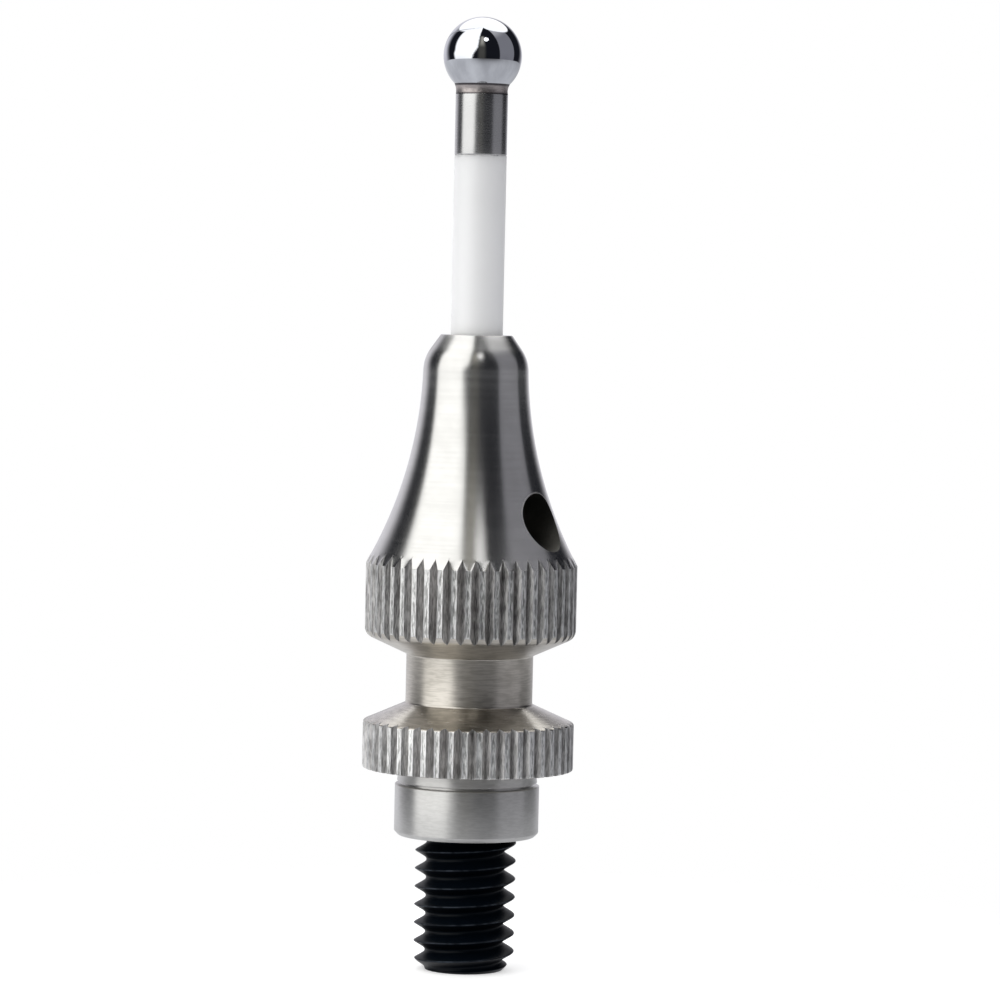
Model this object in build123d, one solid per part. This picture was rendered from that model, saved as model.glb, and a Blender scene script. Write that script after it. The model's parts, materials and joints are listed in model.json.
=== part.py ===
from build123d import *
import math
import os

# Probe stylus of a three-dimensional edge finder, in millimetres.
# The axis of every turned piece is +Z, ball upwards, and the origin is the centre of
# the stud's flat lower end, on which the stylus can stand.

# Threaded stud: a socket set screw, M4 x 0.7, that joins the stylus to the instrument.
# The turns of its bare thread are drawn as level V grooves, one pitch apart. Where it is
# screwed in, both pieces are drawn at the thread's pitch diameter.
thread_d = 4.0
thread_pitch = 0.7
thread_angle = 60.0
thread_crest = 0.0875
first_root_height = 0.907
countersink_d = 4.4
stud_length = 10.0
stud_projection = 5.2
stud_chamfer = 0.5
hex_across_flats = 2.0
hex_depth = 2.2
hex_point_angle = 120.0

# Pilot collar, which centres the stylus in the instrument's nose.
collar_d = 5.56
collar_height = 1.96
collar_chamfer = 0.15

# Relief between the pilot collar and the lower ring, with a narrow groove at its foot.
relief_d = 5.28
relief_foot_d = 5.4
relief_height = 0.62
relief_groove_d = 5.08
relief_groove_width = 0.12

# Two gripping rings of one diameter, cut with the same straight V grooves.
ring_d = 8.1
lower_ring_height = 1.80
lower_ring_cone_angle = 24.0
upper_ring_height = 2.74
upper_ring_cone_angle = 24.5
upper_ring_corner = 0.3
groove_count = 47
groove_depth = 0.2
groove_angle = 80.0
first_groove_angle = -1.5
groove_overshoot = 0.05

# Neck between the rings.
neck_d = 4.88
neck_height = 1.88

# Bell: a short cone that the grooves run out on, a concave flare tangent to it and to the
# axis, a rounded shoulder and a nose cone with a flat rim.
waist_d = 4.03
flare_angle = 27.1
runout_height = 0.5
shoulder_radius = 1.5
nose_angle = 35.0
rim_d = 2.74

# Cross hole for a tightening pin.
cross_hole_d = 2.2
cross_hole_height = 1.75

# Ceramic stem, glued into the bell.
stem_d = 2.0
stem_projection = 6.86
stem_insert = 4.5
stem_end_chamfer = 0.1

# Steel ferrule of the stem's diameter, with a spigot that is glued into the stem.
ferrule_height = 2.33
ferrule_edge = 0.04
spigot_d = 1.0
spigot_length = 2.0
spigot_end_gap = 0.1

# Ball, brazed into a shallow cup in the ferrule's upper end. The ring of braze is hollow
# in its middle and wider than the ferrule where it meets the ball.
ball_d = 3.0
ball_sink = 0.04
braze_hollow = 0.035
braze_rise = 0.06

# Radial clearances that are filled with glue or thread lock.
glue_gap = 0.02
thread_gap = 0.02

# The mean diameter of the thread's flanks, where three quarters of its sharp height is taken off.
thread_sharp_height = thread_pitch / 2 / math.tan(math.radians(thread_angle / 2))
thread_pitch_d = thread_d - 0.75 * thread_sharp_height

# Heights worked out from the sizes above, from the stud's end upwards.
collar_z = stud_projection
relief_z = collar_z + collar_height
lower_ring_z = relief_z + relief_height
lower_cone_z = lower_ring_z + lower_ring_height
ring_step = (ring_d - neck_d) / 2
neck_z = lower_cone_z + ring_step * math.tan(math.radians(lower_ring_cone_angle))
neck_top_z = neck_z + neck_height
upper_ring_z = neck_top_z + ring_step * math.tan(math.radians(upper_ring_cone_angle))
ring_top_z = upper_ring_z + upper_ring_height
flare_z = ring_top_z + runout_height
flare_d = ring_d - 2 * runout_height * math.tan(math.radians(flare_angle))
flare_radius = (flare_d - waist_d) / 2 / (1 - math.cos(math.radians(flare_angle)))
waist_z = flare_z + flare_radius * math.sin(math.radians(flare_angle))
rim_z = waist_z + (waist_d - rim_d) / 2 / math.tan(math.radians(nose_angle))
stem_bottom_z = rim_z - stem_insert
ferrule_z = rim_z + stem_projection
ferrule_top_z = ferrule_z + ferrule_height
ball_z = ferrule_top_z - ball_sink + ball_d / 2
cross_hole_z = ring_top_z + cross_hole_height


def section_line(*points, close=False):
    """Straight runs of a half section in the XZ plane, through (radius, height) points."""
    return Polyline([(r, 0, z) for r, z in points], close=close)


def turned(*points):
    """A solid of revolution about Z whose half section has straight sides."""
    return revolve(make_face(section_line(*points, close=True)), Axis.Z)


def corner(face, radius, height):
    """The corner of a half section that lies at a radius and a height."""
    return face.vertices().sort_by_distance((radius, 0, height))[0]


def ball():
    return Pos(0, 0, ball_z) * Sphere(ball_d / 2)


def body_blank():
    """The turned bar: collar, relief, two rings with the neck between them, and the bell."""
    ring_r, neck_r, waist_r = ring_d / 2, neck_d / 2, waist_d / 2
    relief_r, collar_r, rim_r = relief_d / 2, collar_d / 2, rim_d / 2
    foot_r, groove_r = relief_foot_d / 2, relief_groove_d / 2
    groove_top_z = relief_z + relief_groove_width
    straight = section_line((waist_r, waist_z), (rim_r, rim_z), (0, rim_z), (0, collar_z), (collar_r, collar_z),
                            (collar_r, relief_z), (groove_r, relief_z), (groove_r, groove_top_z),
                            (foot_r, groove_top_z), (relief_r, lower_ring_z), (ring_r, lower_ring_z),
                            (ring_r, lower_cone_z), (neck_r, neck_z), (neck_r, neck_top_z),
                            (ring_r, upper_ring_z), (ring_r, ring_top_z), (flare_d / 2, flare_z))
    flare = TangentArc((waist_r, 0, waist_z), (flare_d / 2, 0, flare_z), tangent=(0, 0, -1))
    face = make_face([*straight.edges(), flare])
    face = fillet(corner(face, waist_r, waist_z), shoulder_radius)
    face = chamfer(corner(face, ring_r, upper_ring_z), upper_ring_corner)
    face = chamfer(corner(face, collar_r, collar_z), collar_chamfer)
    return revolve(face, Axis.Z)


def groove_cutters():
    """V prisms, all along the axis, that cut both rings and run out on the flare and the cones."""
    apex_r = ring_d / 2 - groove_depth
    mouth_r = ring_d / 2 + groove_overshoot
    half_mouth = (mouth_r - apex_r) * math.tan(math.radians(groove_angle / 2))
    section = make_face(Polyline((apex_r, 0), (mouth_r, -half_mouth), (mouth_r, half_mouth), close=True))
    prism = Pos(0, 0, relief_z) * extrude(section, waist_z - relief_z)
    pitch = 360 / groove_count
    return [Rot(0, 0, first_groove_angle + i * pitch) * prism for i in range(groove_count)]


def body():
    """One piece of stainless bar, with the stem's bore, the stud's bore, the cross hole and the grooves."""
    stem_bore_r = stem_d / 2 + glue_gap
    stud_bore_r = thread_pitch_d / 2 + thread_gap
    mouth_r = countersink_d / 2
    stem_bore = turned((0, stem_bottom_z), (stem_bore_r, stem_bottom_z), (stem_bore_r, rim_z), (0, rim_z))
    stud_bore = turned((0, collar_z), (mouth_r, collar_z), (stud_bore_r, collar_z + mouth_r - stud_bore_r),
                       (stud_bore_r, stud_length), (0, stud_length))
    cross_hole = Pos(0, 0, cross_hole_z) * Rot(0, 90, 0) * Cylinder(cross_hole_d / 2, ring_d)
    return body_blank() - [stem_bore, stud_bore, cross_hole, *groove_cutters()]


def thread_outline():
    """The bare thread's half section: a V for each root that ends below the collar, with flat crests."""
    r = thread_d / 2
    half_mouth = (thread_pitch - thread_crest) / 2
    root_r = r - half_mouth / math.tan(math.radians(thread_angle / 2))
    room = collar_z - first_root_height - half_mouth
    roots = [first_root_height + i * thread_pitch for i in range(1 + int(room / thread_pitch))]
    return [point for z in roots for point in ((r, z - half_mouth), (root_r, z), (r, z + half_mouth))]


def threaded_stud():
    """The set screw, with a chamfered lower end and a hexagon socket in it."""
    r = thread_d / 2
    engaged_r = thread_pitch_d / 2
    rod = turned((0, 0), (r - stud_chamfer, 0), (r, stud_chamfer), *thread_outline(), (r, collar_z),
                 (engaged_r, collar_z), (engaged_r, stud_length), (0, stud_length))
    socket = extrude(RegularPolygon(hex_across_flats / 2, 6, major_radius=False), hex_depth)
    point_r = hex_across_flats / 2
    point_z = hex_depth + point_r / math.tan(math.radians(hex_point_angle / 2))
    point = turned((0, hex_depth), (point_r, hex_depth), (0, point_z))
    return rod - [socket, point]


def ceramic_stem():
    """A round ceramic rod with a blind hole for the ferrule's spigot in its upper end."""
    r = stem_d / 2
    hole_r = spigot_d / 2 + glue_gap
    hole_z = ferrule_z - spigot_length - spigot_end_gap
    foot_r = r - stem_end_chamfer
    return turned((0, stem_bottom_z), (foot_r, stem_bottom_z), (r, stem_bottom_z + stem_end_chamfer),
                  (r, ferrule_z), (hole_r, ferrule_z), (hole_r, hole_z), (0, hole_z))


def ball_ferrule():
    """A turned steel sleeve with a spigot below and a cup ground to the ball above."""
    r = stem_d / 2
    spigot_r = spigot_d / 2
    spigot_z = ferrule_z - spigot_length
    sleeve = turned((0, spigot_z), (spigot_r, spigot_z), (spigot_r, ferrule_z), (r - ferrule_edge, ferrule_z),
                    (r, ferrule_z + ferrule_edge), (r, ferrule_top_z), (0, ferrule_top_z))
    return sleeve - ball()


def braze_fillet():
    """The ring of braze that fills the wedge between the ball and the ferrule's upper edge."""
    edge_r = stem_d / 2
    top_r = edge_r + braze_rise
    top_z = ball_z - math.sqrt((ball_d / 2) ** 2 - top_r ** 2)
    root_r = math.sqrt((ball_d / 2) ** 2 - (ball_z - ferrule_top_z) ** 2)
    ring = turned((edge_r, ferrule_top_z), (edge_r - braze_hollow, (ferrule_top_z + top_z) / 2), (top_r, top_z),
                  (root_r, top_z), (root_r, ferrule_top_z))
    return ring - ball()


os.makedirs("parts", exist_ok=True)
for make in (body, threaded_stud, ceramic_stem, ball_ferrule, braze_fillet, ball):
    export_step(make(), f"parts/{make.__name__}.step")
print(f"overall length {ball_z + ball_d / 2:.2f}, rim at {rim_z:.2f}, cross hole at {cross_hole_z:.2f}")
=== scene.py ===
# %% [markdown]
# The probe stylus of a three-dimensional edge finder: a steel ball on a white ceramic stem, held by a
# bell-shaped body with two grooved rings, with a black threaded stud below. It stands on the flat end
# of the stud. Nearly every surface of the real thing was made on a lathe, so every piece here starts as
# an outline carried round one axis. What breaks that rule is a formula on top of it, for the grooves,
# the thread and the hexagon, or a cut, for the cross hole. The measured model is loaded first, because
# every piece has to stand where its solid stands and to be as large.

# %% The measured frame
import json
import math

import bpy
import numpy as np
from mathutils import Matrix, Vector

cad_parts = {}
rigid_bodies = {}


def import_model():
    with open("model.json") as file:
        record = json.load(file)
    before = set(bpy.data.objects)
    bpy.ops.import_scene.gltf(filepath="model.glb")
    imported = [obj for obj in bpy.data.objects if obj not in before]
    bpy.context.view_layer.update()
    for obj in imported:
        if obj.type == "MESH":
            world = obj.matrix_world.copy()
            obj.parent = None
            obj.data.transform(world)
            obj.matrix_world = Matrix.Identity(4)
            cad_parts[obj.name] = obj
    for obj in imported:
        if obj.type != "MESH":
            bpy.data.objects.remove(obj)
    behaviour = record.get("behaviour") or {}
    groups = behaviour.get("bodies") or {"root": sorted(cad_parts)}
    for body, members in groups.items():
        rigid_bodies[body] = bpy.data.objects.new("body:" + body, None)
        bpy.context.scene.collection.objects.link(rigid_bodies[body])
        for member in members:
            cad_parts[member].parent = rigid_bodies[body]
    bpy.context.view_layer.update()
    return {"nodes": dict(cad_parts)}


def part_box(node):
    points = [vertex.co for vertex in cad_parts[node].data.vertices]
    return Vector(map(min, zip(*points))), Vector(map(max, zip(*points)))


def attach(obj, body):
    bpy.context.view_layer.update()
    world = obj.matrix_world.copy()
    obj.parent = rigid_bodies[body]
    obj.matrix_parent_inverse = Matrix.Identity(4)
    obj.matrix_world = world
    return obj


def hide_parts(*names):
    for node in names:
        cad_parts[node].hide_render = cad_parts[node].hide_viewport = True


for thing in list(bpy.data.objects):
    bpy.data.objects.remove(thing)
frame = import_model()
metre = 1000.0
print("pieces to make:", ", ".join(sorted(frame["nodes"])))


# %% [markdown]
# The camera stands in front of the stylus, a little higher than its middle and about five times its
# length away. A Track To constraint could aim it, but a matrix worked out from two points can be rolled
# as well, and the stylus leans a little in the picture. The lens is long, so the circles of the rings
# open only slightly. The picture is 1000 pixels wide and 1000 high.

# %% Directions round the stylus
camera_azimuth = 32.5


def around(bearing, distance, height):
    """A point seen from the axis at a bearing in degrees: 0 is the camera's side, 90 its right hand."""
    a = math.radians(camera_azimuth + bearing)
    return Vector((distance * math.sin(a), -distance * math.cos(a), height))


def looking(place, target, roll=0.0):
    """The turn and place of a camera or lamp: its third axis points away from the target, and the roll
    turns the other two about it."""
    away = (place - target).normalized()
    side = Vector((0, 0, 1)).cross(away).normalized()
    rise = away.cross(side)
    c, s = math.cos(math.radians(roll)), math.sin(math.radians(roll))
    axes = Matrix((side * c + rise * s, rise * c - side * s, away)).transposed()
    return Matrix.Translation(place) @ axes.to_4x4()


print("the camera's side is", [round(x, 3) for x in around(0, 1, 0)])

# %% The camera
camera_distance = 0.1713
camera_height = 0.02686
aim_height = 0.01814
aim_right = 0.00103
camera_roll = 1.26
lens_length = 160.8
sensor_width = 36.0

camera = bpy.data.objects.new("camera", bpy.data.cameras.new("camera"))
camera.data.lens = lens_length
camera.data.sensor_width = sensor_width
camera.data.clip_start, camera.data.clip_end = 0.01, 20.0
aim = around(90, aim_right, aim_height)
camera.matrix_world = looking(around(0, camera_distance, camera_height), aim, camera_roll)
bpy.context.scene.collection.objects.link(camera)
bpy.context.scene.camera = camera
print("camera at", [round(x * metre, 1) for x in camera.location])


# %% [markdown]
# A turned piece is an outline in the half plane of (distance from the axis, height), carried round the
# axis. The Screw modifier can do that too, but a grid of numbers can be bent by a formula before it
# becomes a mesh, as the grooves and the thread need. The outlines run so that the metal is on their
# left: up along the outside, down inside a bore. They start and end on the axis, which closes the piece
# at two poles.

# %% From a grid of points to a closed mesh
def closed_surface(name, x, y, z, finish=None):
    """A mesh from three arrays of millimetres with a row for each point of the outline and a column for
    each direction round the axis. The columns join up, and the first and the last row, which lie on the
    axis, each shrink to one point. finish holds the number of a material for each face."""
    grid = np.stack([x, y, z], axis=-1) / metre
    rows, columns = grid.shape[:2]
    points = np.concatenate([grid[0, :1], grid[1:-1].reshape(-1, 3), grid[-1, :1]])
    index = np.zeros((rows, columns), int)
    index[1:-1] = 1 + np.arange((rows - 2) * columns).reshape(rows - 2, columns)
    index[-1] = len(points) - 1
    low, high = index[:-1], index[1:]
    quads = np.stack([low, np.roll(low, -1, 1), np.roll(high, -1, 1), high], axis=-1)
    corners = np.concatenate([quads[0, :, [0, 2, 3]].T.ravel(), quads[1:-1].ravel(),
                              quads[-1][:, [0, 1, 2]].ravel()])
    sizes = np.concatenate([np.full(columns, 3), np.full((rows - 3) * columns, 4), np.full(columns, 3)])
    mesh = bpy.data.meshes.new(name)
    mesh.vertices.add(len(points))
    mesh.vertices.foreach_set("co", points.ravel())
    mesh.loops.add(len(corners))
    mesh.loops.foreach_set("vertex_index", corners)
    mesh.polygons.add(len(sizes))
    mesh.polygons.foreach_set("loop_start", np.concatenate([[0], np.cumsum(sizes)[:-1]]))
    if finish is not None:
        mesh.polygons.foreach_set("material_index", np.ascontiguousarray(finish, np.int32).ravel())
    mesh.update(calc_edges=True)
    mesh.validate()
    piece = bpy.data.objects.new(name, mesh)
    bpy.context.scene.collection.objects.link(piece)
    return piece


# %% Turned pieces and their sizes
def sharpened(piece, angle=32.0):
    """Smooth shading, broken wherever two faces meet at more than an angle."""
    piece.data.polygons.foreach_set("use_smooth", np.ones(len(piece.data.polygons), bool))
    piece.data.set_sharp_from_angle(angle=math.radians(angle))
    return piece


def turned(name, line, columns=192):
    """The surface of revolution (r cos a, r sin a, z) of an outline."""
    a = np.linspace(0, 2 * np.pi, columns, endpoint=False)[None, :]
    r, z = line[:, :1], line[:, 1:]
    return sharpened(closed_surface(name, r * np.cos(a), r * np.sin(a), z + 0 * a))


def placed(node):
    """Radius, lowest and highest point of a round piece of the measured frame, in millimetres."""
    low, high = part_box(node)
    return (high.x - low.x) / 2 * metre, low.z * metre, high.z * metre


def measured(piece):
    """Prints a piece's faces and its size in millimetres."""
    print(f"{piece.name}: {len(piece.data.polygons)} faces,",
          " x ".join(f"{d * metre:.3f}" for d in piece.dimensions), "mm")


for node in sorted(frame["nodes"]):
    print(node, "has radius, foot and top", [round(value, 3) for value in placed(node)])


# %% [markdown]
# A finish is a small network of nodes that works out colour, roughness and bump at each point. Wiring
# it by hand hides the idea, so two short classes let it be written as sums: Level wraps a number that
# varies over the surface, and Finish owns the network. Places come from the Object coordinates, turned
# into millimetres, so that a pattern has its real scale and stays where it is on the piece.

# %% Sums of numbers that vary over a surface
class Level:
    """The output socket of a node. Arithmetic on it adds Math nodes to its finish."""

    def __init__(self, finish, socket):
        self.finish, self.socket = finish, socket

    def math(self, operation, *values):
        return self.finish.add("ShaderNodeMath", {"operation": operation}, dict(enumerate(values)))

    def __add__(self, other):
        return self.math("ADD", self, other)

    def __sub__(self, other):
        return self.math("SUBTRACT", self, other)

    def __rsub__(self, other):
        return self.math("SUBTRACT", other, self)

    def __mul__(self, other):
        return self.math("MULTIPLY", self, other)

    def __truediv__(self, other):
        return self.math("DIVIDE", self, other)

    def __rtruediv__(self, other):
        return self.math("DIVIDE", other, self)

    __radd__, __rmul__ = __add__, __mul__

    def __abs__(self):
        return self.math("ABSOLUTE", self)

    def root(self):
        return self.math("SQRT", self)

    def cosine(self):
        """The cosine of an angle in degrees."""
        angle = self * math.radians(1)
        return angle.math("COSINE", angle)

    def angle(self, ahead):
        """The angle in degrees of a place that is this far aside and so far ahead."""
        return self.math("ARCTAN2", self, ahead) * math.degrees(1)

    def rise(self, start, end):
        """0 below start, 1 above end, smooth in between. With start above end it falls."""
        low, high, flip = (start, end, False) if start < end else (end, start, True)
        out = self.finish.add("ShaderNodeMapRange", {"interpolation_type": "SMOOTHSTEP"},
                              {"Value": self, "From Min": low, "From Max": high})
        return 1 - out if flip else out


# %% The network of a finish
class Finish:
    """A material and the one shader in it."""

    def __init__(self, name, **constants):
        self.material = bpy.data.materials.new(name)
        self.material.use_nodes = True
        self.nodes, self.links = self.material.node_tree.nodes, self.material.node_tree.links
        self.shader = self.nodes["Principled BSDF"]
        self.set(**constants)

    def add(self, kind, settings, values, output=0):
        """Adds a node: first its settings, then the values or links of its sockets, by name or number."""
        node = self.nodes.new(kind)
        for key, value in settings.items():
            setattr(node, key, value)
        self.join(node, values)
        return Level(self, node.outputs[output])

    def join(self, node, values):
        for key, value in values.items():
            socket = node.inputs[key]
            if isinstance(value, Level):
                self.links.new(value.socket, socket)
            else:
                socket.default_value = value

    def set(self, **values):
        """Values or links for the shader's sockets, named with _ for a space."""
        self.join(self.shader, {key.replace("_", " "): value for key, value in values.items()})
        return self

    def linked(self, name):
        """What feeds one of the shader's sockets so far."""
        return Level(self, self.shader.inputs[name].links[0].from_socket)

    def place(self):
        """The Object coordinates in millimetres: all three together, then each by itself."""
        at = self.add("ShaderNodeTexCoord", {}, {}, "Object")
        at = self.add("ShaderNodeVectorMath", {"operation": "SCALE"}, {0: at, "Scale": metre})
        parts = self.add("ShaderNodeSeparateXYZ", {}, {0: at}, "X")
        outputs = parts.socket.node.outputs
        return at, Level(self, outputs["X"]), Level(self, outputs["Y"]), Level(self, outputs["Z"])

    def noise(self, at, scale, stretch=(1, 1, 1), detail=2.0, rough=0.5):
        """Noise from 0 to 1 with scale bumps to a millimetre, drawn out by stretch along each axis."""
        drawn = self.add("ShaderNodeVectorMath", {"operation": "DIVIDE"}, {0: at, 1: stretch})
        return self.add("ShaderNodeTexNoise", {}, {"Vector": drawn, "Scale": scale, "Detail": detail,
                                                   "Roughness": rough})

    def mixed(self, share, low, high):
        """A colour between two colours."""
        low, high = (c if isinstance(c, Level) else (*c, 1.0) for c in (low, high))
        return self.add("ShaderNodeMix", {"data_type": "RGBA"}, {0: share, 6: low, 7: high}, 2)

    def bumped(self, height, depth):
        """Bump from a height of 0 to 1 that stands for a real depth in millimetres."""
        self.set(Normal=self.add("ShaderNodeBump", {}, {"Height": height, "Distance": depth / metre,
                                                        "Strength": 1.0}))
        return self


# %% A piece with its finishes, in its place
def finished(piece, slot, node, *finishes):
    """Gives a piece its finishes, and lets it stand for its node of the measured frame."""
    for finish in finishes:
        piece.data.materials.append(finish.material)
        print(f"{finish.material.name}: {len(finish.nodes)} nodes")
    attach(piece, "root")
    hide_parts(node)
    measured(piece)


# %% [markdown]
# The ball is what touches the work, so it is the truest surface of the tool: a hardened, lapped sphere
# with a mirror polish. Blender's own UV sphere would look much the same, but a half circle turned like
# the other outlines takes its size from the frame. Its two poles do no harm: one is on top, seldom seen
# close, and the other inside the cup of the ferrule. Faint handling marks break the mirror, and its
# lower half is a little darker in soft patches.

# %% The ball
ball_low, ball_high = placed("ball")[1:]
ball_r = (ball_high - ball_low) / 2
ball_z = (ball_low + ball_high) / 2


def ball_outline(rows=96):
    """Half a circle from the lower pole to the upper one."""
    a = np.linspace(-np.pi / 2, np.pi / 2, rows)
    return np.stack([ball_r * np.cos(a), ball_z + ball_r * np.sin(a)], axis=-1)


ball = turned("tip_ball", ball_outline())
print(f"the ball is {2 * ball_r:.3f} mm across, {ball_z:.3f} mm up")

# %% Lapped steel
clear_steel, clouded_steel = (0.58, 0.595, 0.63), (0.42, 0.43, 0.46)
lapped = Finish("lapped_steel", Metallic=1.0)
at, x, y, z = lapped.place()
haze = lapped.noise(at, 1.6, detail=3).rise(0.45, 0.75)
hairlines = lapped.noise(at, 14, stretch=(9, 1, 1), detail=1).rise(0.62, 0.8)
lower_half = z.rise(ball_z + 0.1, ball_z - 0.3)
cloud = lapped.noise(at, 1.6, stretch=(1, 1, 2), detail=3).rise(0.3, 0.75) * lower_half
lapped.set(Base_Color=lapped.mixed(cloud, clear_steel, clouded_steel),
           Roughness=0.015 + 0.02 * haze + 0.03 * hairlines)
lapped.bumped(hairlines, 0.0002)
finished(ball, "bright_ball", "ball", lapped)


# %% [markdown]
# The ferrule carries the ball. It is a steel sleeve as thick as the stem, with a spigot below that is
# glued into the stem and a shallow cup above that the ball sits in. A cylinder with a Bevel modifier
# would do for the sleeve alone, but one outline also has the spigot and the cup. Sharp edges look unreal,
# so a corner of an outline may have a radius. The sleeve was ground round after turning, so it shines in
# upright bands, with very fine marks that run round it.

# %% Outlines with rounded corners
def rounded(corners, turn_step=10.0):
    """A line through (r, z, radius) corners. A corner with a radius becomes an arc that touches both
    sides at radius * tan(turn / 2) from the corner, in steps of a few degrees."""
    corners = np.array(corners, float)
    line = [corners[0, :2]]
    for before, here, after in zip(corners, corners[1:], corners[2:]):
        u = (here[:2] - before[:2]) / np.linalg.norm(here[:2] - before[:2])
        v = (after[:2] - here[:2]) / np.linalg.norm(after[:2] - here[:2])
        turn = math.atan2(u[0] * v[1] - u[1] * v[0], u @ v)
        if here[2] == 0:
            line.append(here[:2])
            continue
        start = here[:2] - u * here[2] * math.tan(abs(turn) / 2)
        normal = np.array((-u[1], u[0])) * math.copysign(1, turn)
        centre = start + normal * here[2]
        steps = max(2, math.ceil(abs(math.degrees(turn)) / turn_step))
        a = np.linspace(0, turn, steps + 1)[:, None]
        spoke = start - centre
        line.extend(centre + np.cos(a) * spoke + np.sin(a) * np.array((-spoke[1], spoke[0])))
    line.append(corners[-1, :2])
    return np.array(line)


def divided(line, step):
    """The same line with more points, so that none of its straight runs is longer than a step, which
    is a number or a function of the two ends of a run."""
    points = [line[:1]]
    for a, b in zip(line, line[1:]):
        longest = step(a, b) if callable(step) else step
        n = max(1, math.ceil(np.linalg.norm(b - a) / longest))
        points.append(a + (b - a) * np.linspace(0, 1, n + 1)[1:, None])
    return np.concatenate(points)


print("a right angle with a radius has", len(rounded([(0, 0, 0), (2, 0, 1), (2, 2, 0)])), "points")

# %% The ferrule
ferrule_r, spigot_low, ferrule_top = placed("ball_ferrule")
stem_r, stem_low, stem_top = placed("ceramic_stem")
spigot_r, spigot_round = 0.5, 0.1
edge_break, top_break = 0.05, 0.02
cup_r = math.sqrt(ball_r ** 2 - (ball_z - ferrule_top) ** 2)


def ferrule_outline(longest=0.4, cup_steps=8):
    """Spigot, shoulder, sleeve and top, then the cup, which is a piece of the ball's own circle."""
    sleeve = rounded([(0, spigot_low, 0), (spigot_r, spigot_low, spigot_round), (spigot_r, stem_top, 0),
                      (ferrule_r, stem_top, edge_break), (ferrule_r, ferrule_top, top_break),
                      (cup_r, ferrule_top, 0)])
    a = np.linspace(math.asin(cup_r / ball_r), 0, cup_steps)[1:]
    cup = np.stack([ball_r * np.sin(a), ball_z - ball_r * np.cos(a)], axis=-1)
    return np.concatenate([divided(sleeve, longest), cup])


ferrule = turned("tip_ferrule", ferrule_outline())
print(f"the cup is {2 * cup_r:.3f} mm wide in a sleeve of {2 * ferrule_r:.3f} mm")

# %% Ground steel
ground = Finish("ground_steel", Metallic=1.0, Anisotropic=0.4, Anisotropic_Rotation=0.25)
at, x, y, z = ground.place()
marks = ground.noise(at, 30, stretch=(40, 40, 1), detail=3)
patches = ground.noise(at, 1.3, stretch=(1, 1, 2), detail=3)
ground.set(Base_Color=ground.mixed(patches, (0.45, 0.45, 0.45), (0.54, 0.54, 0.535)),
           Roughness=0.21 + 0.05 * marks + 0.07 * patches)
ground.bumped(marks, 0.0005)
finished(ferrule, "ground_steel", "ball_ferrule", ground)


# %% [markdown]
# A thin ring of braze joins ball and ferrule. It ran into the wedge between them and froze with a
# hollow face, a little wider at the ball. A torus would bulge instead, so the face is a parabola that
# dips below the straight line, and small waves in its radius keep it from looking machined. The flux
# left it dull and slightly pink. Both its rims are painted dark, as painted shade for the creases where
# it meets the ball and the ferrule.

# %% The ring of braze
braze_low, braze_high = (corner.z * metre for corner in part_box("braze_fillet"))
braze_r = placed("braze_fillet")[0]
braze_inner_r = ball_r * 0.55
braze_hollow = 0.035
slow_wave, middle_wave, quick_wave, level_wave = 0.006, 0.004, 0.002, 0.004


def braze_ring(columns=192, rows=15):
    """A ring with a hollow outer face: the radius goes from the ferrule's to the ball's side along a
    parabola that dips below the straight line, plus a ripple that is a sum of three cosines."""
    t = np.linspace(0, 1, rows)[:, None]
    a = np.linspace(0, 2 * np.pi, columns, endpoint=False)[None, :]
    swell = np.sin(np.pi * t)
    ripple = (slow_wave * np.cos(3 * a + 1) + middle_wave * np.cos(7 * a + 2 * t)
              + quick_wave * np.cos(17 * a))
    face = ferrule_r + (braze_r - ferrule_r) * t - 4 * braze_hollow * t * (1 - t) + ripple * swell
    height = braze_low + (braze_high - braze_low) * t + level_wave * np.sin(2 * a) * swell
    low = np.concatenate([np.zeros_like(a), braze_inner_r + 0 * a])
    r = np.concatenate([low, face, low[::-1]])
    z = np.concatenate([np.full((2, columns), braze_low), height, np.full((2, columns), braze_high)])
    return sharpened(closed_surface("tip_braze", r * np.cos(a), r * np.sin(a), z))


braze = braze_ring()
print(f"the braze is {braze_high - braze_low:.3f} mm high")

# %% Dull braze
# The colour of the painted shade along both rims of the braze.
rim_shade_colour = (0.07, 0.065, 0.07)
brazed = Finish("dull_braze", Metallic=1.0)
at, x, y, z = brazed.place()
grain = brazed.noise(at, 9, detail=4)
stain = brazed.noise(at, 1.5, stretch=(1, 1, 0.6), detail=3).rise(0.35, 0.65)
# Painted shade: both rims are darkened for the creases where the braze meets the ball and the ferrule.
painted_rim_shade = z.rise(braze_low + 0.09, braze_low) + z.rise(braze_high - 0.11, braze_high - 0.05)
colour = brazed.mixed(stain, (0.27, 0.25, 0.245), (0.44, 0.40, 0.39))
brazed.set(Base_Color=brazed.mixed(painted_rim_shade, colour, rim_shade_colour), Roughness=0.32 + 0.2 * grain)
brazed.bumped(grain, 0.012)
finished(braze, "braze", "braze_fillet", brazed)


# %% [markdown]
# The stem is a rod of white ceramic: stiff, light, and it doesn't carry current, so the ball can be
# insulated from the body. It was ground between centres, and its gloss is low. White paint would be too
# hard a look: ceramic scatters light just below its surface, which softens its shading. The light may
# go only half a millimetre deep here, or else the thin wall round the blind hole at the top, where the
# spigot sits, looks darker than the solid rod below it.

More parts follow.
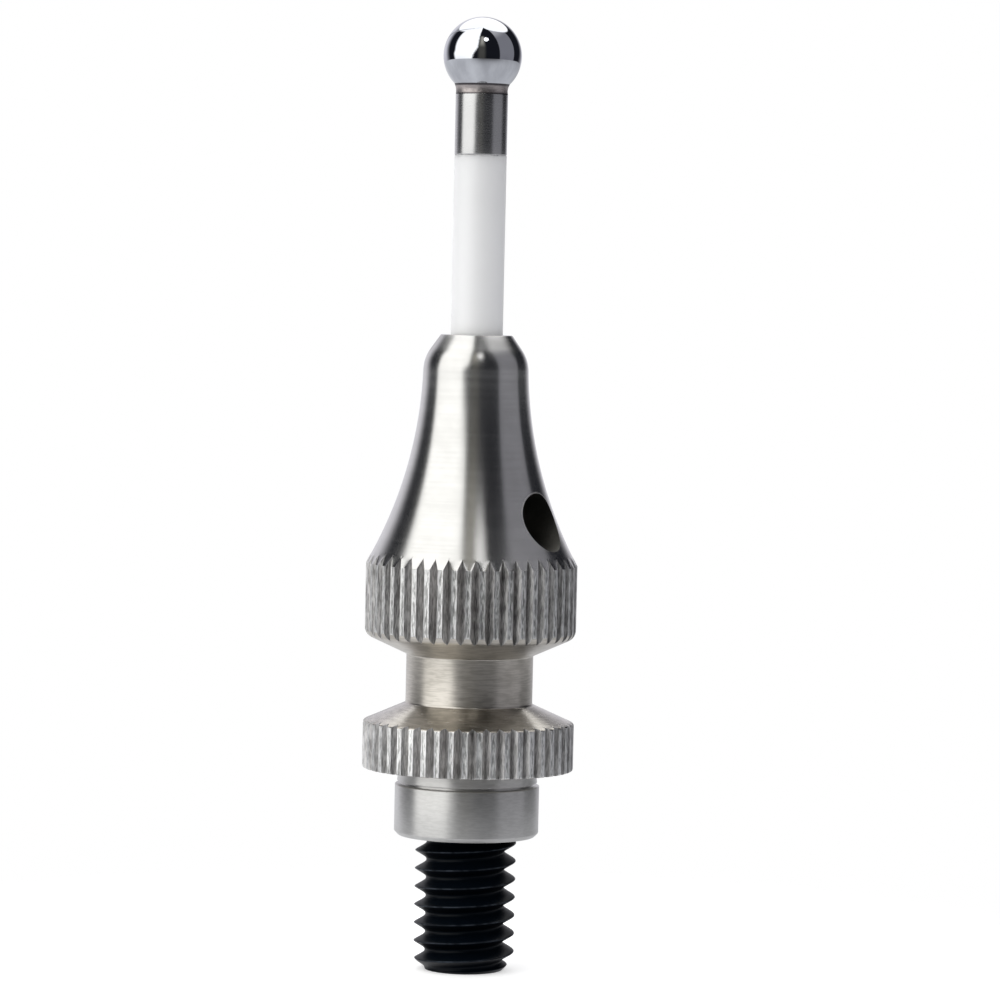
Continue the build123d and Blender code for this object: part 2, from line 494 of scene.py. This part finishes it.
# %% The ceramic stem
def stem_outline(chamfer=0.1, gap=0.02, spare_depth=0.1, edge=0.02, longest=0.8):
    """Foot with a chamfer, the long side, and the blind hole for the spigot in the upper end."""
    hole_r = spigot_r + gap
    hole_z = spigot_low - spare_depth
    return divided(rounded([(0, stem_low, 0), (stem_r - chamfer, stem_low, 0),
                            (stem_r, stem_low + chamfer, 0), (stem_r, stem_top, edge),
                            (hole_r, stem_top, 0), (hole_r, hole_z, 0), (0, hole_z, 0)]), longest)


stem = turned("ceramic_rod", stem_outline())
print(f"the rod reaches from {stem_low:.2f} to {stem_top:.2f} mm")

# %% White ceramic
ceramic = Finish("white_ceramic", IOR=1.7, Subsurface_Weight=1.0, Subsurface_Radius=(1, 1, 1),
                 Subsurface_Scale=0.0005)
at, x, y, z = ceramic.place()
marks = ceramic.noise(at, 18, stretch=(12, 12, 1), detail=3)
cloud = ceramic.noise(at, 0.8, detail=2)
ceramic.set(Base_Color=ceramic.mixed(cloud, (0.955, 0.945, 0.915), (0.975, 0.965, 0.94)),
            Roughness=0.38 + 0.14 * marks)
ceramic.bumped(marks, 0.0015)
finished(stem, "ceramic", "ceramic_stem", ceramic)


# %% [markdown]
# The body is one bar of stainless steel. From the stud upwards it has a pilot collar, a short relief with
# a narrow groove at its foot, a lower ring, a neck, an upper ring and the bell, a hollow flare that
# ends in a rounded shoulder and a short cone. All of that is one outline, because parts joined from
# cylinders and cones would need their seams hidden. Where two cuts meet, the edge was broken by hand on
# the lathe, so each corner has its own small radius.

# %% The body's sizes in millimetres
body_low, rim_z = (corner.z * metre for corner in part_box("body"))
stud_r, _, stud_top = placed("threaded_stud")
thread_pitch = 0.7
thread_mean_r = stud_r - 0.375 * thread_pitch * math.sqrt(3) / 2
bore_gap, countersink_r = 0.02, 2.2
collar_r, collar_height, collar_chamfer = 2.78, 1.96, 0.15
relief_r, relief_foot_r, relief_height = 2.64, 2.70, 0.62
slit_r, slit_width = 2.54, 0.12
ring_r, neck_r, neck_height = 4.05, 2.44, 1.88
lower_ring_height, lower_cone_angle = 1.80, 24.0
upper_ring_height, upper_cone_angle = 2.74, 24.5
waist_r, rim_r, nose_angle, shoulder_radius = 2.015, 1.37, 35.0, 1.5
flare_angle, runout_height = 27.1, 0.5
groove_depth = 0.2
print(f"the body stands {body_low:.2f} mm up and holds {stud_top - body_low:.2f} mm of the stud")

# %% Heights worked out from the sizes, from the collar upwards
lower_slope, upper_slope = (math.tan(math.radians(g)) for g in (lower_cone_angle, upper_cone_angle))
relief_z = body_low + collar_height
lower_ring_z = relief_z + relief_height
lower_cone_z = lower_ring_z + lower_ring_height
neck_z = lower_cone_z + (ring_r - neck_r) * lower_slope
neck_top_z = neck_z + neck_height
upper_ring_z = neck_top_z + (ring_r - neck_r) * upper_slope
ring_top_z = upper_ring_z + upper_ring_height
flare_z = ring_top_z + runout_height
flare_r = ring_r - runout_height * math.tan(math.radians(flare_angle))
flare_radius = (flare_r - waist_r) / (1 - math.cos(math.radians(flare_angle)))
waist_z = flare_z + flare_radius * math.sin(math.radians(flare_angle))
nose_z = waist_z + (waist_r - rim_r) / math.tan(math.radians(nose_angle))
print(f"the outline ends at {nose_z:.3f}, and the measured rim is at {rim_z:.3f}")


# %% The bell's outline
def bell_outline(flare_steps=60, shoulder_steps=14):
    """The flare and the shoulder. The flare is a hollow arc about a centre outside the metal. The
    shoulder is a round arc that touches flare and cone: its centre lies a shoulder radius inside the
    cone's line, and a flare radius plus a shoulder radius away from the flare's centre, which fixes it."""
    tilt = math.radians(nose_angle)
    cone, inward = np.array((-math.sin(tilt), math.cos(tilt))), np.array((-math.cos(tilt), -math.sin(tilt)))
    centre = np.array((waist_r + flare_radius, waist_z))
    away = np.array((waist_r, waist_z)) + inward * shoulder_radius - centre
    b = away @ cone
    along = -b + math.sqrt(b * b - away @ away + (flare_radius + shoulder_radius) ** 2)
    middle = centre + away + cone * along
    spoke = (centre - middle) / (flare_radius + shoulder_radius)
    a = np.linspace(math.radians(flare_angle), math.asin(spoke[1]), flare_steps)[:, None]
    flare = centre - flare_radius * np.hstack([np.cos(a), np.sin(a)])
    a = np.linspace(math.asin(spoke[1]), tilt, shoulder_steps)[1:, None]
    shoulder = middle + shoulder_radius * np.hstack([np.cos(a), np.sin(a)])
    return np.concatenate([flare, shoulder])


print("the shoulder ends at", bell_outline()[-1].round(3).tolist())

# %% The whole outline, from the top of the stud's bore to the foot of the stem's bore
deep_r = ring_r - 1.2 * groove_depth
relief_top_z = lower_ring_z - 0.05


def body_outline(fine=0.04, coarse=9.0):
    """Three stretches and the bell, one after another: the foot up to relief_top_z, the two rings, and
    the nose. Where a slanted stretch crosses the depth of the grooves, down to deep_r, its points lie
    close together, because the grooves run out there and draw a pointed arch."""
    bore_r, slit_top = thread_mean_r + bore_gap, relief_z + slit_width
    foot = rounded([(0, stud_top, 0), (bore_r, stud_top, 0), (bore_r, body_low + countersink_r - bore_r, 0),
                    (countersink_r, body_low, 0.03), (collar_r - collar_chamfer, body_low, 0.05),
                    (collar_r, body_low + collar_chamfer, 0.08), (collar_r, relief_z, 0.035),
                    (slit_r, relief_z, 0.02), (slit_r, slit_top, 0.02), (relief_foot_r, slit_top, 0.02),
                    (relief_r, relief_top_z, 0)], turn_step=23)
    rings = rounded([(relief_r, relief_top_z, 0), (relief_r, lower_ring_z, 0.03),
                     (deep_r, lower_ring_z, 0), (ring_r, lower_ring_z, 0.07), (ring_r, lower_cone_z, 0.12),
                     (deep_r, lower_cone_z + (ring_r - deep_r) * lower_slope, 0), (neck_r, neck_z, 0.1),
                     (neck_r, neck_top_z, 0.07), (deep_r, upper_ring_z - (ring_r - deep_r) * upper_slope, 0),
                     (ring_r, upper_ring_z, 0.42), (ring_r, ring_top_z, 0.06), (flare_r, flare_z, 0)])
    flare = bell_outline()
    nose = rounded([(*flare[-1], 0), (rim_r, rim_z, 0.04), (stem_r + bore_gap, rim_z, 0.02),
                    (stem_r + bore_gap, stem_low, 0), (0, stem_low, 0)], turn_step=18)
    line = np.concatenate([foot, rings[1:-1], flare, nose[1:]])

    def step(a, b):
        slanted, deep = abs(a[0] - b[0]) > 0.0001, min(a[0], b[0]) > deep_r - 0.02
        return fine if slanted and deep and a[1] < flare_z else coarse

    return divided(line, step)


print("the body's outline has", len(body_outline()), "points")


# %% [markdown]
# Both rings have straight V grooves, so that fingers can turn the stylus without a tool. A texture would
# fail here: the grooves show on the outline of the rings, and they run out in pointed arches where the
# ring turns into the flare or into a cone. So they are worked out. Each flank is a flat plane, no two
# grooves are quite as deep, and the metal that the grooving tool pushed up stands as a fine lip along
# every edge.

# %% Which finish goes where
bell, land, flank, lip, neck, cone, collar, bore = range(8)


def strip_finishes(line, at_foot=0.001, at_rim=0.03, at_ring=0.02):
    """The number of the finish of each strip between two points of the outline, from where it lies. The
    bores are what comes before the outline reaches the foot and after it has rounded the rim, and a
    strip is a land if it lies almost at the radius of the rings."""
    r = np.minimum(line[:-1, 0], line[1:, 0])
    z = (line[:-1, 1] + line[1:, 1]) / 2
    strip = np.arange(len(z))
    lower_end = np.argmax(line[:, 1] < body_low + at_foot)
    upper_end = np.flatnonzero(line[:, 1] > rim_z - at_rim)[-1]
    inside = (strip < lower_end) | (strip >= upper_end)
    places = [inside, z < lower_ring_z, z > ring_top_z, r > ring_r - at_ring, z < neck_z]
    return np.select(places, [bore, collar, bell, land, cone], neck)


print("strips of each finish before the grooves are cut:",
      np.bincount(strip_finishes(body_outline()), minlength=8).tolist())

# %% The grooves in numbers
groove_count, groove_angle, first_groove_angle = 47, 80.0, -1.5
depth_error, worst_error = 0.005, 0.03
lip_height, lip_width, lip_fade, lip_share = 0.010, 0.06, 0.012, 0.6
narrowest, widest, spreading = 0.0005, 0.27, 0.6


def shared(values):
    """A value of each groove for the eight columns from its middle to the middle of the next one: five
    columns take their own groove's value, three the next one's."""
    after = np.roll(values, -1, axis=1)
    return np.stack([values] * 5 + [after] * 3, axis=-1)


print(f"{groove_count} grooves, {groove_depth} mm deep and",
      f"{2 * math.pi * ring_r / groove_count:.3f} mm apart")


# %% The grooved surface
def grooved_body():
    """A plane flank lies apex / (cos a - |sin a| / tan(half angle)) from the axis at an angle a from the
    groove's middle. It meets an outline of radius r where that distance is r, which gives each row the
    half width of its grooves, and the columns are moved so that one always runs along that edge. In a
    row that lies too deep to be cut they spread out again, the more the deeper it lies."""
    line = body_outline()
    r, z = line[:, :1], line[:, 1:]
    random = np.random.default_rng(7)
    error = np.clip(random.normal(0, depth_error, (1, groove_count)), -worst_error, worst_error)
    apex = ring_r - groove_depth + error
    slope = 1 / math.tan(math.radians(groove_angle / 2))
    tilt = math.atan(slope)
    pitch = 2 * math.pi / groove_count
    reach = np.arccos(np.clip(apex / np.maximum(r, 0.1) * math.cos(tilt), -1, 1)) - tilt
    cut = reach > 0
    spread_half = np.clip((apex - r) * spreading, narrowest, widest * pitch)
    half = np.where(cut, np.maximum(reach, narrowest), spread_half)
    edge = np.minimum(lip_width / ring_r, (pitch / 2 - half) * lip_share)
    off = shared(half) * [0, 0.5, 1, 1, 0, 1, 1, 0.5] + shared(edge) * [0, 0, 0, 1, 0, 1, 0, 0]
    off[..., 4] = pitch / 2
    turn = math.radians(first_groove_angle) + pitch * np.arange(groove_count)[:, None]
    a = turn + np.where(np.arange(8) < 5, off, pitch - off)
    plane = shared(apex + 0 * half) / np.maximum(np.cos(off) - np.sin(off) * slope, 0.1)
    outer = np.where(shared(cut), np.minimum(r[..., None], plane), r[..., None])
    ridge = shared(lip_height * np.clip(reach / lip_fade, 0, 1)) * [0, 0, 1, 0, 0, 0, 1, 0]
    spread, a = ((it + 0 * off).reshape(len(line), -1) for it in (outer + ridge, a))
    grooved = shared(cut[:-1] | cut[1:])
    finish = np.broadcast_to(strip_finishes(line)[:, None, None], grooved.shape)
    finish = np.where(grooved & (finish == land) & np.isin(np.arange(8), (2, 5)), lip, finish)
    finish = np.where(grooved & np.isin(np.arange(8), (0, 1, 6, 7)), flank, finish)
    return closed_surface("turned_body", spread * np.cos(a), spread * np.sin(a), z + 0 * a, finish)


body = grooved_body()
measured(body)


# %% [markdown]
# A hole for a tightening pin goes right across the bell. Its edge is a curve in space, which is hard
# to meet with a grid, so a drill is made as a piece of its own and taken away with an exact boolean.
# The wall of the hole keeps the drill's finish, a darker steel with feed marks.

# %% Drilled steel
drilled = Finish("drilled_steel", Metallic=1.0, Base_Color=(0.17, 0.165, 0.15, 1))
at, x, y, z = drilled.place()
feed = drilled.noise(at, 25, stretch=(1, 30, 30), detail=2)
drilled.set(Roughness=0.35 + 0.2 * feed)
drilled.bumped(feed, 0.006)
print(f"{drilled.material.name}: {len(drilled.nodes)} nodes")

# %% The drill and the cut
cross_hole_r, cross_hole_z = 1.1, ring_top_z + 1.75


def drill(overhang=1.0, columns=96):
    """A closed round bar along the X axis: a turned outline with its axis laid down."""
    long = ring_r + overhang
    a = np.linspace(0, 2 * np.pi, columns, endpoint=False)[None, :]
    r = np.array([0, cross_hole_r, cross_hole_r, 0])[:, None]
    along = np.array([-long, -long, long, long])[:, None]
    return closed_surface("drill", along + 0 * a, r * np.cos(a), cross_hole_z + r * np.sin(a))


def cut_away(piece, tool):
    """Takes a tool's shape out of a piece for good. The cut keeps the tool's own finish."""
    change = piece.modifiers.new("cut", "BOOLEAN")
    change.operation, change.solver, change.object = "DIFFERENCE", "EXACT", tool
    change.material_mode = "TRANSFER"
    shaped = piece.evaluated_get(bpy.context.evaluated_depsgraph_get())
    mesh = bpy.data.meshes.new_from_object(shaped)
    piece.modifiers.remove(change)
    piece.data = mesh
    bpy.data.objects.remove(tool)


print(f"the hole is {2 * cross_hole_r:.2f} mm wide, {cross_hole_z:.2f} mm up")


# %% [markdown]
# The body shows eight finishes, one for each kind of cut. The bell was polished after turning, so it
# mirrors the studio in upright bands that its fine marks blur along the axis. On the rings the grooving
# tool left smooth flanks and bright lips, and the lands between them still show torn metal. The lower
# ring's colour is painted lighter and the upper ring's darker, as painted light and shade. The neck,
# the cones at its two ends and the collar were left as turned, each a little smoother or rougher. One
# function makes seven of the finishes, as they differ only in numbers, and the eighth is the drilled
# one above.

# %% Steel as the tools left it
def steel(name, light, dark, rough, marks_rough, depth, stretch, fineness=9, streaks=0.0,
          anisotropic=0.0, painted_ring_light=0.0):
    """Stainless steel with tool marks drawn out along the cut. The marks are a noise that adds roughness
    and bump. The colour goes between two greys by patches and, as far as streaks says, by marks. On the
    rings it is also painted lighter on the lower ring and darker on the upper one, as painted light and
    shade."""
    finish = Finish(name, Metallic=1.0, Anisotropic=anisotropic, Anisotropic_Rotation=0.25)
    at, x, y, z = finish.place()
    marks = finish.noise(at, fineness, stretch=stretch, detail=2, rough=0.6)
    patches = finish.noise(at, 0.9, detail=3).rise(0.3, 0.7)
    share = patches * (1 - streaks) + marks.rise(0.38, 0.62) * streaks
    # Painted light and shade: the colour is moved lighter on the lower ring and darker on the upper one.
    if painted_ring_light:
        share = share + painted_ring_light * (z.rise(upper_ring_z, lower_cone_z) - 0.5)
    finish.set(Base_Color=finish.mixed(share, dark, light), Roughness=rough + marks_rough * marks)
    finish.bumped(marks, depth)
    print(f"{name}: roughness {rough:.2f} to {rough + marks_rough:.2f}, marks {depth} mm deep")
    return finish


# %% The grooved rings
along_the_axis = (1, 1, 7)
torn = steel("torn_lands", light=(0.92, 0.92, 0.905), dark=(0.28, 0.28, 0.275), rough=0.41,
             marks_rough=0.3, depth=0.010, stretch=along_the_axis, fineness=18, streaks=0.9, painted_ring_light=0.2)
pressed = steel("pressed_flanks", light=(0.70, 0.69, 0.68), dark=(0.24, 0.235, 0.23), rough=0.33,
                marks_rough=0.3, depth=0.008, stretch=along_the_axis, fineness=18, streaks=0.6, painted_ring_light=0.2)
burnished = steel("burnished_lips", light=(0.88, 0.88, 0.87), dark=(0.46, 0.46, 0.45), rough=0.32,
                  marks_rough=0.3, depth=0.004, stretch=along_the_axis, fineness=18, streaks=0.8,
                  painted_ring_light=0.3)

# %% Neck, cone and collar
brushed = steel("brushed_neck", light=(0.63, 0.595, 0.54), dark=(0.42, 0.395, 0.35), rough=0.26,
                marks_rough=0.14, depth=0.0010, stretch=(10, 10, 1), fineness=16, streaks=0.5,
                anisotropic=0.6)
faced = steel("faced_cone", light=(0.56, 0.53, 0.48), dark=(0.34, 0.32, 0.285), rough=0.18,
              marks_rough=0.14, depth=0.0010, stretch=(10, 10, 1), fineness=16, streaks=0.5,
              anisotropic=0.5)
satin = steel("satin_collar", light=(0.62, 0.615, 0.60), dark=(0.51, 0.505, 0.49), rough=0.30,
              marks_rough=0.10, depth=0.0008, stretch=(5, 5, 1), fineness=14, streaks=0.5,
              anisotropic=0.85)

# %% The polished bell, dull where the upper edge of the cross hole was broken
polished = steel("polished_bell", light=(0.61, 0.605, 0.59), dark=(0.54, 0.535, 0.52), rough=0.22,
                 marks_rough=0.06, depth=0.0001, stretch=(40, 40, 1), streaks=0.3, anisotropic=0.75)
at, x, y, z = polished.place()
from_pin = (y * y + (z - cross_hole_z) * (z - cross_hole_z)).root()
upper_edge = z.rise(cross_hole_z - 0.6, cross_hole_z + 0.9)
broken_edge = from_pin.rise(cross_hole_r + 0.06, cross_hole_r + 0.03) * upper_edge
polished.set(Roughness=polished.linked("Roughness") + 0.25 * broken_edge)

# %% The body put together
for finish in (polished, torn, pressed, burnished, brushed, faced, satin, drilled):
    body.data.materials.append(finish.material)
tool = drill()
tool.data.materials.append(drilled.material)
cut_away(body, tool)
sharpened(body)
finished(body, "turned_steel", "body")


# %% [markdown]
# The stud is a socket set screw. A thread is often a profile carried along a helix, which leaves loose
# ends. Here it is one more formula: the radius depends on how far a point is from the nearest crest,
# and the crests climb by one pitch in each turn. The rows of the grid stay level and close together,
# which keeps the two ends flat and lets the hexagon socket share the grid. The steel is blackened, and
# handling has rubbed the crests a little brighter.

# %% The radius of the thread
thread_phase = 0.955
crest_r, root_r = stud_r - 0.045, 1.49


def thread_radius(a, z, soft_crest=0.035, soft_root=0.09, crest_spare=0.02):
    """From a sharp crest the flanks fall at 60 degrees to the axis, with s the distance along the axis
    to the nearest crest. Two soft limits, each the mean of sum and rounded difference, flatten the crest
    and round the root."""
    s = np.abs((z / thread_pitch - a / (2 * np.pi) - thread_phase + 0.5) % 1 - 0.5) * thread_pitch
    flank = crest_r + crest_spare - s * math.sqrt(3)
    low = (flank + root_r + np.sqrt((flank - root_r) ** 2 + soft_root ** 2)) / 2
    return (low + crest_r - np.sqrt((low - crest_r) ** 2 + soft_crest ** 2)) / 2


print(f"the thread goes from {root_r:.2f} to {crest_r:.3f} mm from the axis")

# %% The threaded stud
end_chamfer, socket_flat, socket_depth = 0.5, 1.0, 2.2
socket_break, socket_break_depth = 0.04, 0.05
first_row, row_step, soft_chamfer = 0.005, 0.0175, 0.02
thread_end_z, engaged_z = body_low + 0.1, body_low + 0.45


def stud_surface(columns=144):
    """Socket, flat end, chamfer, thread and the part inside the body, one under another in one grid. A
    side of the hexagon lies socket_flat / cos(angle from the side's middle) from the axis. Where two
    rows lie close together, the shading on either side of them stays flat."""
    a = np.linspace(0, 2 * np.pi, columns, endpoint=False)[None, :]
    hexagon = socket_flat / np.cos(a % (np.pi / 3) - np.pi / 6)
    flat = stud_r - end_chamfer
    point_z = socket_depth + socket_flat / math.tan(math.radians(60))
    heads = [(0 * a, point_z), (socket_flat * 0.5 + 0 * a, (point_z + socket_depth) / 2),
             (socket_flat + 0 * a, socket_depth), (hexagon * 0.999, socket_depth),
             (hexagon, socket_depth - 0.01), (hexagon, socket_break_depth), (hexagon + socket_break, 0.0),
             (flat - 0.06 + 0 * a, 0.0), (flat - 0.02 + 0 * a, 0.0)]
    z = np.arange(first_row, thread_end_z, row_step)[:, None]
    limit = flat + z
    r = thread_radius(a, z)
    body_r = (r + limit - np.sqrt((r - limit) ** 2 + soft_chamfer ** 2)) / 2
    inner = thread_mean_r
    tails = [(inner + 0 * a, engaged_z), (inner + 0 * a, stud_top - end_chamfer),
             (inner - end_chamfer + 0 * a, stud_top - 0.001), (0 * a, stud_top)]
    rows_r = np.concatenate([h[0] for h in heads] + [body_r] + [t[0] for t in tails])
    rows_z = np.concatenate([np.full_like(a, h[1]) for h in heads] + [z + 0 * a]
                            + [np.full_like(a, t[1]) for t in tails])
    piece = closed_surface("threaded_stud_m4", rows_r * np.cos(a), rows_r * np.sin(a), rows_z)
    return sharpened(piece, angle=75)


stud = stud_surface()
print("pitches of bare thread:", round(body_low / thread_pitch, 2))

# %% Black oxide
black, rubbed_black = (0.001, 0.0026, 0.0052), (0.045, 0.055, 0.07)
blackened = Finish("black_oxide", Specular_IOR_Level=0.10)
at, x, y, z = blackened.place()
grain = blackened.noise(at, 20, detail=3)
crest = (x * x + y * y).root().rise(crest_r - 0.05, crest_r - 0.005)
wear = crest * blackened.noise(at, 3, detail=3).rise(0.3, 0.7)
blackened.set(Base_Color=blackened.mixed(wear, black, rubbed_black), Metallic=crest * 0.6,
              Roughness=0.30 + 0.2 * grain)
blackened.bumped(grain, 0.003)
finished(stud, "black_oxide", "threaded_stud", blackened)


# %% [markdown]
# Polished steel has hardly any colour of its own: it shows the room. So the studio matters as much as
# the metal. It could be built from separate sheets and lamps, but as one large sphere that glows by
# direction its panels can be moved and softened one by one. The camera doesn't see this room, only what
# it does to the stylus, on a background that is all white. The table that the metals mirror belongs to
# the room as well. The small floor under the stylus only catches its shadow: it neither lights the
# pieces nor shows in them.

# %% Sheets of the studio
def plain_surface(name, x, y, z, **constants):
    """A sheet of the studio from three arrays of metres, with a dull finish."""
    rows, columns = x.shape
    index = np.arange(rows * columns).reshape(rows, columns)
    faces = np.stack([index[:-1, :-1], index[:-1, 1:], index[1:, 1:], index[1:, :-1]], axis=-1).reshape(-1, 4)
    mesh = bpy.data.meshes.new(name)
    mesh.from_pydata(np.stack([x, y, z], axis=-1).reshape(-1, 3).tolist(), [], faces.tolist())
    mesh.polygons.foreach_set("use_smooth", np.ones(len(faces), bool))
    it = bpy.data.objects.new(name, mesh)
    bpy.context.scene.collection.objects.link(it)
    finish = Finish(name, Roughness=1.0, Specular_IOR_Level=0.0, **constants)
    mesh.materials.append(finish.material)
    print(f"{name}: {len(faces)} faces")
    return it, finish


# %% The floor
floor_radii = (0, 0.004, 0.008, 0.012, 0.02, 0.03, 0.035)
fade_start, fade_end = 13, 30


def floor():
    """A small round white table that is lost in the pale surroundings at its rim. It has only an upper
    side, so that the stylus can also be looked at from below."""
    r = np.array(floor_radii)[:, None]
    a = np.linspace(2 * np.pi, 0, 65)[None, :]
    it, finish = plain_surface("pale_floor", r * np.cos(a), r * np.sin(a), 0 * r + 0 * a,
                               Base_Color=(0.8, 0.8, 0.8, 1), Emission_Color=(0.5, 0.5, 0.5, 1),
                               Emission_Strength=1.0)
    at, x, y, z = finish.place()
    solid = 1 - (x * x + y * y).root().rise(fade_start, fade_end)
    upper = 1 - finish.add("ShaderNodeNewGeometry", {}, {}, "Backfacing")
    clear = finish.add("ShaderNodeBsdfTransparent", {}, {})
    mix = finish.add("ShaderNodeMixShader", {}, {0: 1 - solid * upper})
    finish.links.new(finish.shader.outputs[0], mix.socket.node.inputs[1])
    finish.links.new(clear.socket, mix.socket.node.inputs[2])
    finish.links.new(mix.socket, finish.nodes["Material Output"].inputs["Surface"])
    it.visible_glossy = it.visible_diffuse = False


floor()


# %% [markdown]
# The ball and the bell mirror the room, and where its bands fall on them tells the bearings of the
# panels: a pale backdrop behind, a tall white softbox on the left that draws the broad bright band, a
# faint spill of light in front, a dim screen on the right that draws the second band, black cloth
# between and beside them, and a white ceiling that slopes down behind, with a narrow dim gap that
# slants through it on the left.

# %% What glows above the horizon
black_cloth, pale_backdrop = (0.012, 0.013, 0.018), (0.85, 0.84, 0.90)
low_spill, high_spill = (0.09, 0.088, 0.08), (0.52, 0.50, 0.44)
low_screen, high_screen = (0.27, 0.27, 0.30), (0.58, 0.58, 0.60)
bright_softbox, white_ceiling, dim_gap = (1.8, 1.8, 1.78), (1.7, 1.7, 1.7), (0.5, 0.5, 0.52)


def panels(finish, b, e, ragged):
    """The colour at bearing b and elevation e, both in degrees. Each panel is a product of soft steps
    across its edges, and is laid over the ones before it. ragged is how many degrees the softbox's right
    edge wanders."""
    backdrop_left, backdrop_right = -111 - 0.45 * e, 127 + 0.8 * e
    backdrop = (backdrop_left - b).rise(0, 32) + (b - backdrop_right).rise(0, 44)
    glow = finish.mixed(backdrop, black_cloth, pale_backdrop)

    high = e.rise(22, 42)
    spill_middle, spill_half = -3, 16 - 4 * high
    spill = (spill_half - abs(b - spill_middle)).rise(0, 12) * (1 - e.rise(53, 60))
    glow = finish.mixed(spill, glow, finish.mixed(high, low_spill, high_spill))

    screen_left, screen_right = 52, 104 + 0.22 * e
    screen = (b - screen_left).rise(-2, 2) * (screen_right - b).rise(-1.5, 1.5)
    glow = finish.mixed(screen, glow, finish.mixed(e.rise(45, 65), low_screen, high_screen))

    softbox_left, softbox_right = 5 * e.rise(3, 14) - 91 - 0.3 * e, ragged - 36 + 16 * e.rise(-8, 30)
    softbox = (b - softbox_left).rise(-5, 4) * (softbox_right - b).rise(-6, 3)
    glow = finish.mixed(softbox, glow, bright_softbox)

    ceiling_edge = 60 + 30 * b.cosine()
    glow = finish.mixed((e - ceiling_edge).rise(-1.5, 1.5), glow, white_ceiling)

    gap_height, gap_start = 152 + 0.86 * b, -70
    gap = (2.5 - abs(e - gap_height)).rise(0, 2) * (gap_start - b).rise(0, 8)
    return finish.mixed(gap, glow, dim_gap)


# %% The table below it, and the room
room_r = 3.0
table_dip, gloss_width = 8.5, 8
left_table, right_table, dark_gloss = (0.84, 0.85, 0.88), (0.70, 0.71, 0.74), (0.2, 0.2, 0.21)


def room():
    """A sphere that glows by bearing and elevation. The table starts a few degrees below the horizon. It
    is glossy, so near its rim it is darker where it mirrors the black cloth."""
    e = np.radians(np.linspace(-90, 90, 37))[:, None]
    a = np.radians(camera_azimuth + np.linspace(-180, 180, 73))[None, :]
    it, finish = plain_surface("room", room_r * np.cos(e) * np.sin(a), -room_r * np.cos(e) * np.cos(a),
                               room_r * np.sin(e) + 0 * a, Base_Color=(0, 0, 0, 1), Emission_Strength=1.0)
    at, x, y, z = finish.place()
    front, right = around(0, 1, 0), around(90, 1, 0)
    b = (x * right.x + y * right.y).angle(x * front.x + y * front.y)
    e = z.angle((x * x + y * y).root())
    ragged = finish.noise(at, 0.004, detail=2) * 6
    depth = -table_dip * (b / 2).cosine() - e
    falloff = gloss_width ** 2 / (gloss_width ** 2 + depth * depth)
    gloss = falloff * b.rise(-50, 0) * (1 - 0.65 * b.rise(35, 75))
    table = finish.mixed(b.rise(-60, 60), left_table, right_table)
    table = finish.mixed(gloss, table, dark_gloss)
    finish.set(Emission_Color=finish.mixed(depth.rise(0, 1.2), panels(finish, b, e, ragged), table))
    it.visible_camera = False


room()


# %% [markdown]
# Two round lamps go with the room. Where a small bright spot glows on a large sphere, the renderer finds
# it mostly by chance and the picture turns grainy, so the glints come from a small area lamp instead. A
# broad one lightens the shadow side of the ceramic, and the metals don't mirror it. The camera sees
# neither of them: behind the stylus it sees only the plain white of the world.

# %% The two lamps
lamp_aim = Vector((0, 0, 0.02))


def lamp(name, bearing, elevation, across, radiance, distance=0.5):
    """A round lamp. Its power is pi times its area times how bright its face is."""
    light = bpy.data.lights.new(name, "AREA")
    light.shape, light.size = "DISK", across
    light.energy = radiance * math.pi * math.pi * across ** 2 / 4
    it = bpy.data.objects.new(name, light)
    tilt = math.radians(elevation)
    it.matrix_world = looking(around(bearing, distance * math.cos(tilt), distance * math.sin(tilt)), lamp_aim)
    it.visible_camera = False
    bpy.context.scene.collection.objects.link(it)
    print(f"{name}: {light.energy:.3f} W from {distance} m")
    return it


lamp("small_lamp", bearing=12, elevation=50, across=0.105, radiance=2.6)
fill = lamp("soft_fill", bearing=50, elevation=25, across=0.5, radiance=1.0)
fill.visible_glossy = False

# %% The white background
world = bpy.data.worlds.new("pale_room")
world.use_nodes = True
world.node_tree.nodes["Background"].inputs["Color"].default_value = (1.0, 1.0, 1.0, 1)
world.node_tree.nodes["Background"].inputs["Strength"].default_value = 1.0
bpy.context.scene.world = world
bpy.context.scene.view_settings.view_transform = "Standard"
print("the background is", world.name)
